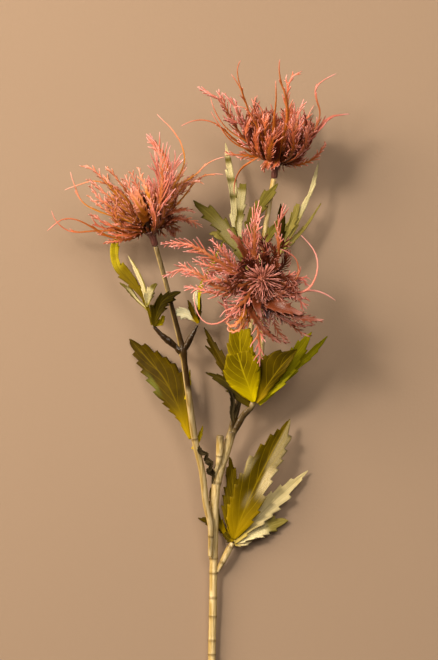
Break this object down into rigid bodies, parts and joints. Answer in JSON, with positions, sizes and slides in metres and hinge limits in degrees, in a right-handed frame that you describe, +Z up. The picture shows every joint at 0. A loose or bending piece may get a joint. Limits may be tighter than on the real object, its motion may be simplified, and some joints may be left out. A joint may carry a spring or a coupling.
{
  "type": "dried sea holly spray",
  "caption": "Cut spray of dried sea holly laid flat: branched stem, lobed leaves and round feathery heads with whiskered bracts.",
  "frame": {"origin": "on the surface that the spray lies on, below the middle of its bounding box", "axes": "+Y along the stem toward the heads, +Z up from the surface, +X to the right seen from above with the heads away"},
  "size_m": [0.1828, 0.4401, 0.0786],
  "materials": {
    "stem": "dry khaki stem with small rings",
    "shoot": "dark dried side shoot",
    "sleeve": "plum-brown sleeve under a head",
    "cone": "spiky cone of small florets",
    "bract": "dusty salmon pink, brown toward the base",
    "brown_bract": "rust brown, rolled and dry",
    "leaf": "olive to yellow-green, veined, matt",
    "pale_leaf": "faded yellow-beige, veined, matt"
  },
  "bodies": {
    "root": {"front_head_bottom_bract": "bract", "front_head_comb_bract": "bract", "front_head_cone": "cone", "front_head_left_bract": "bract", "front_head_long_left_bract": "bract", "front_head_looped_bract": "bract", "front_head_low_right_bract": "brown_bract", "front_head_right_bract": "bract", "front_head_short_bract": "brown_bract", "front_head_sleeve": "sleeve", "front_head_strap_bract": "bract", "front_head_upper_right_bract": "bract", "front_head_upright_bract": "bract", "front_stalk": "stem", "left_branch": "stem", "left_head_arched_bract": "bract", "left_head_back_left_bract": "bract", "left_head_back_right_bract": "bract", "left_head_brown_bract": "brown_bract", "left_head_cone": "cone", "left_head_curled_bract": "bract", "left_head_left_bract": "bract", "left_head_looped_bract": "bract", "left_head_low_bract": "bract", "left_head_right_bract": "bract", "left_head_sleeve": "sleeve", "left_head_strap_bract": "bract", "left_head_upright_bract": "bract", "left_shoot_front_leaf": "leaf", "left_shoot_leaf": "leaf", "left_side_shoot": "shoot", "lower_leaf_stalk": "stem", "lower_left_leaf": "leaf", "lowest_leaf": "leaf", "lowest_side_leaf": "pale_leaf", "main_stem": "stem", "right_shoot_leaf": "leaf", "right_side_shoot": "shoot", "stub_shoot": "shoot", "top_head_back_left_bract": "bract", "top_head_back_right_bract": "bract", "top_head_brown_bract": "brown_bract", "top_head_cone": "cone", "top_head_front_right_bract": "bract", "top_head_hooked_bract": "brown_bract", "top_head_left_bract": "bract", "top_head_low_bract": "bract", "top_head_middle_bract": "bract", "top_head_right_bract": "bract", "top_head_sleeve": "sleeve", "top_head_strap_bract": "bract", "top_head_tall_left_bract": "bract", "top_head_whisker_bract": "bract", "top_stalk": "stem", "upper_left_leaf": "leaf", "upper_middle_leaf": "leaf", "upper_right_leaf": "pale_leaf", "whorl_left_leaf": "leaf", "whorl_middle_leaf": "leaf", "whorl_right_leaf": "leaf"}
  },
  "joints": []
}
